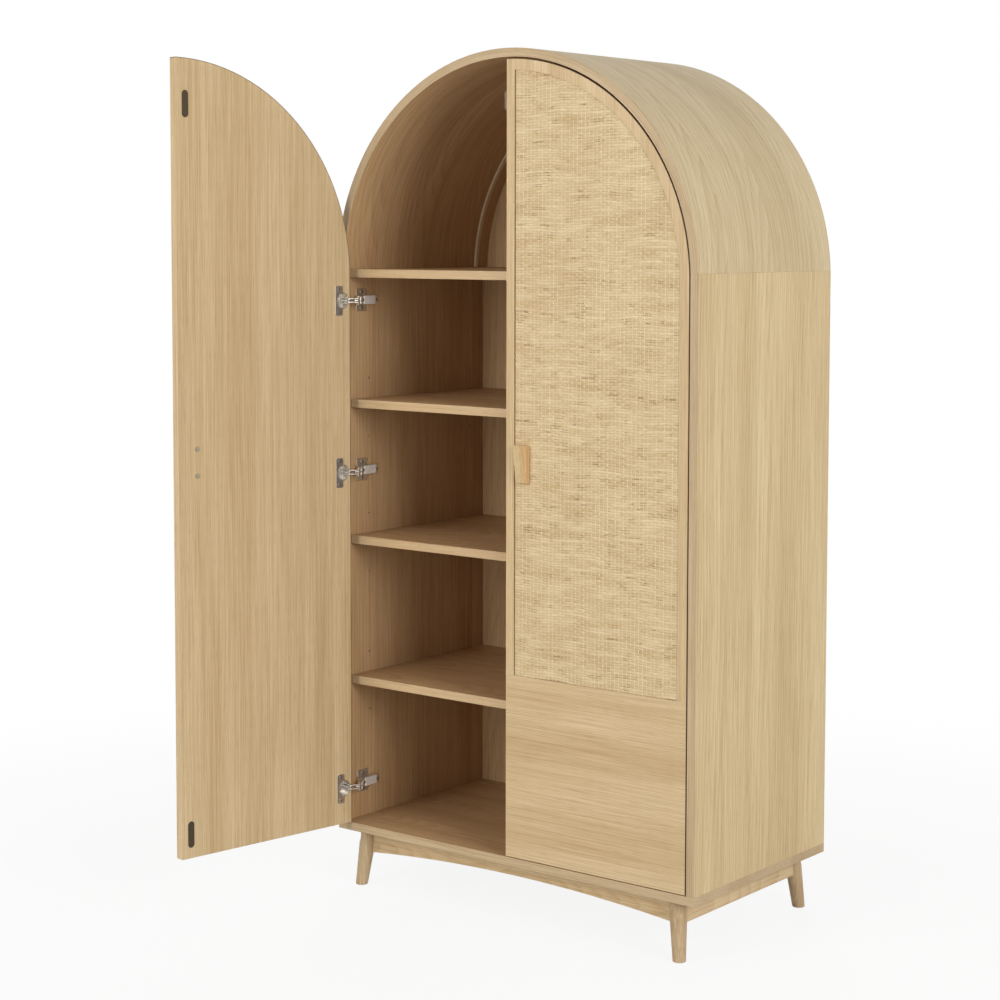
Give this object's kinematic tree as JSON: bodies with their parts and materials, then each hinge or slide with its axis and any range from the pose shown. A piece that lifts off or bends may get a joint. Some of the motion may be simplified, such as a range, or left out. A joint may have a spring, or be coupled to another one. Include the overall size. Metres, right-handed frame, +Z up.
{
  "type": "wardrobe",
  "caption": "Arched oak wardrobe with inset doors faced in woven rattan, cup hinges, wooden tab handles, inner shelves and splayed round legs.",
  "frame": {"origin": "on the floor, in the middle of the width, in the plane of the closed doors' front", "axes": "+Z up, +X to the right of a viewer who faces the doors, +Y to the back"},
  "size_m": [0.9927, 0.9404, 1.8],
  "materials": {
    "oak": "matt oiled natural oak veneer",
    "oak_handle": "matt solid oak",
    "beech": "plain beech",
    "rattan": "woven natural rattan",
    "nickel": "bright nickel-plated steel",
    "zinc": "zinc-plated steel",
    "dark_steel": "dark lacquered steel",
    "clear_plastic": "pale translucent plastic"
  },
  "bodies": {
    "case": {"adjusting_screws": "nickel", "arched_top": "oak", "arm_pins": "nickel", "back_panel": "oak", "base_panel": "oak", "case_dowels": "beech", "fixed_shelf": "oak", "front_left_leg": "oak", "front_rail": "oak", "front_right_leg": "oak", "left_arm_covers": "nickel", "left_hinge_arms": "nickel", "left_mounting_plates": "nickel", "left_rail": "oak", "left_side_panel": "oak", "leg_bolts": "zinc", "lower_shelf": "oak", "middle_shelf": "oak", "mounting_screws": "nickel", "rail_dowels": "beech", "rear_arch_batten": "oak", "rear_left_leg": "oak", "rear_rail": "oak", "rear_right_leg": "oak", "right_arm_covers": "nickel", "right_hinge_arms": "nickel", "right_mounting_plates": "nickel", "right_rail": "oak", "right_side_panel": "oak", "shelf_pins": "nickel", "upper_shelf": "oak"},
    "left_door": {"left_cup_pins": "nickel", "left_cup_screws": "nickel", "left_door_backing": "oak", "left_door_frame": "oak", "left_door_lower_panel": "oak", "left_handle": "oak_handle", "left_handle_screws": "zinc", "left_hinge_cups": "nickel", "left_rattan_sheet": "rattan", "left_strike_plates": "dark_steel", "left_strike_screws": "dark_steel"},
    "left_outer_link_set": {"left_outer_links": "nickel"},
    "left_inner_link_set": {"left_inner_links": "nickel"},
    "right_door": {"right_catch_screws": "zinc", "right_cup_pins": "nickel", "right_cup_screws": "nickel", "right_door_backing": "oak", "right_door_catch": "clear_plastic", "right_door_frame": "oak", "right_door_lower_panel": "oak", "right_handle": "oak_handle", "right_handle_screws": "zinc", "right_hinge_cups": "nickel", "right_rattan_sheet": "rattan"},
    "right_outer_link_set": {"right_outer_links": "nickel"},
    "right_inner_link_set": {"right_inner_links": "nickel"}
  },
  "joints": [
    {"name": "left_door_swing", "type": "hinge", "parent": "case", "child": "left_door", "pos_m": [-0.4445, 0.0005, 0.911], "axis": [0, 0, -1], "range_deg": [-99.2, 10.8]},
    {"name": "left_outer_link_turn", "type": "hinge", "parent": "left_door", "child": "left_outer_link_set", "pos_m": [-0.42744, -0.00986, 0.911], "axis": [0, 0, 1], "range_deg": [-174.51, 19.04]},
    {"name": "left_inner_link_turn", "type": "hinge", "parent": "left_door", "child": "left_inner_link_set", "pos_m": [-0.43032, -0.00889, 0.911], "axis": [0, 0, 1], "range_deg": [-182.89, 19.96]},
    {"name": "right_door_swing", "type": "hinge", "parent": "case", "child": "right_door", "pos_m": [0.4445, 0.0005, 0.911], "axis": [0, 0, 1], "range_deg": [0, 110]},
    {"name": "right_outer_link_turn", "type": "hinge", "parent": "right_door", "child": "right_outer_link_set", "pos_m": [0.437, 0.019, 0.911], "axis": [0, 0, -1], "range_deg": [0, 193.5]},
    {"name": "right_inner_link_turn", "type": "hinge", "parent": "right_door", "child": "right_inner_link_set", "pos_m": [0.4375, 0.016, 0.911], "axis": [0, 0, -1], "range_deg": [0, 202.79]}
  ],
  "couplings": [
    {"joint": "left_outer_link_turn", "follows": "left_door_swing", "ratio": 1.7587},
    {"joint": "left_inner_link_turn", "follows": "left_door_swing", "ratio": 1.8431},
    {"joint": "right_outer_link_turn", "follows": "right_door_swing", "ratio": 1.7587},
    {"joint": "right_inner_link_turn", "follows": "right_door_swing", "ratio": 1.8431}
  ]
}
